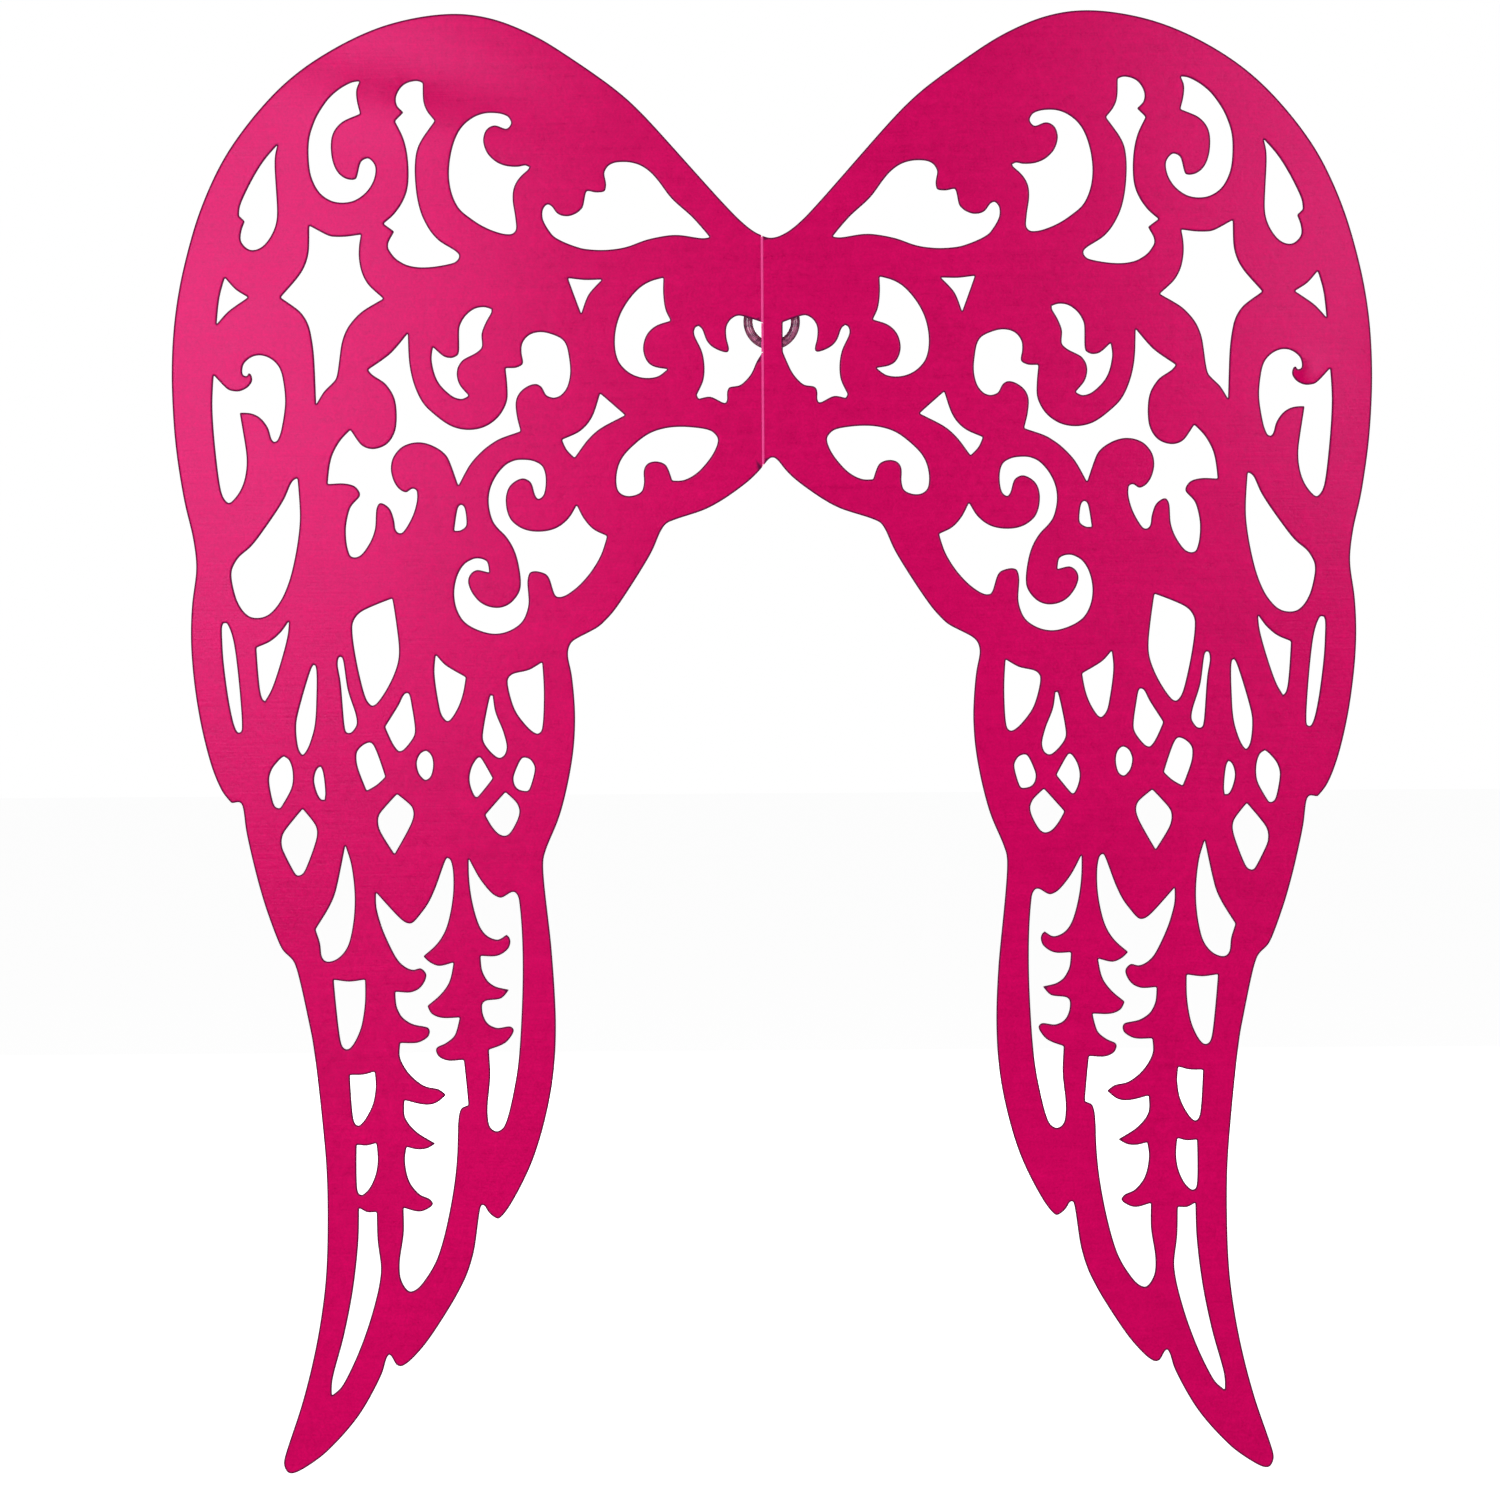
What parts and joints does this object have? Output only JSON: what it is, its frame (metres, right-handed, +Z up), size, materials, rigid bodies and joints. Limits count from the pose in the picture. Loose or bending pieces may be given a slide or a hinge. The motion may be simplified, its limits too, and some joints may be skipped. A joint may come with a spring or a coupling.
{
  "type": "fairy wings",
  "caption": "Flat filigree fairy wings cut from thin plastic sheet and creased down the middle, with a hanging ring held in a folded tab behind the centre.",
  "frame": {"origin": "middle of the flat back face of the ring's tab, on the mirror line of the wings", "axes": "+Z up along the wings' height, +Y back towards the wearer and away from the show face, +X to the right as the show face is looked at"},
  "size_m": [0.4488, 0.0073, 0.5435],
  "materials": {
    "magenta_sheet": "satin",
    "tab_film": "frosted film",
    "smoky_ring": "smoky moulded"
  },
  "bodies": {
    "right_panel": {"right_wing": "magenta_sheet", "ring_tab": "tab_film"},
    "left_panel": {"left_wing": "magenta_sheet"},
    "ring": {"strap_ring": "smoky_ring"}
  },
  "joints": [
    {"name": "wing_fold", "type": "hinge", "parent": "right_panel", "child": "left_panel", "pos_m": [-0.0035, -0.0021, 0], "axis": [0, 0, 1], "range_deg": [-6, 170], "stiffness_Nm_per_rad": 0.3},
    {"name": "ring_swing", "type": "hinge", "parent": "right_panel", "child": "ring", "pos_m": [0, 0.00212, -0.01062], "axis": [1, 0, 0], "range_deg": [-4, 170]}
  ]
}
